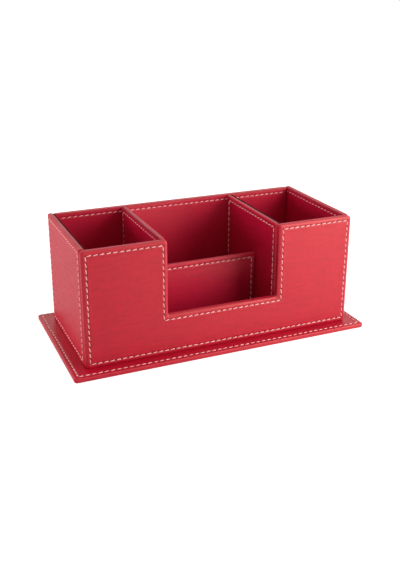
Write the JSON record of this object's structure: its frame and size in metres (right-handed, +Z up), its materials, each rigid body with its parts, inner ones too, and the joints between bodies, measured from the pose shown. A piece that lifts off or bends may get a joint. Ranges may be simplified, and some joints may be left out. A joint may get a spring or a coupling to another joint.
{
  "type": "desk organizer",
  "caption": "Open stitched-leatherette desk organizer on a flat plinth: pen cups either side of a middle bay with a low cross wall and a notched front.",
  "frame": {"origin": "centre of the underside, on the desk's surface", "axes": "+X across the width to the right as seen from the front, -Y towards the front with the notch, +Z up"},
  "size_m": [0.265, 0.1324, 0.1037],
  "materials": {
    "leatherette": "satin",
    "lining": "satin",
    "board": "matte",
    "felt": "matte"
  },
  "bodies": {
    "root": {"base_board": "board", "base_skin": "leatherette", "base_underside": "felt", "front_board": "board", "front_skin": "leatherette", "front_lining": "lining", "back_board": "board", "back_skin": "leatherette", "back_lining": "lining", "left_side_board": "board", "left_side_skin": "leatherette", "left_side_lining": "lining", "right_side_board": "board", "right_side_skin": "leatherette", "right_side_lining": "lining", "left_divider_board": "board", "left_divider_skin": "leatherette", "left_divider_lining": "lining", "right_divider_board": "board", "right_divider_skin": "leatherette", "right_divider_lining": "lining", "cross_wall_board": "board", "cross_wall_skin": "leatherette", "cross_wall_lining": "lining", "left_cup_mat": "felt", "right_cup_mat": "felt", "front_bay_mat": "felt", "rear_bay_mat": "felt"}
  },
  "joints": []
}
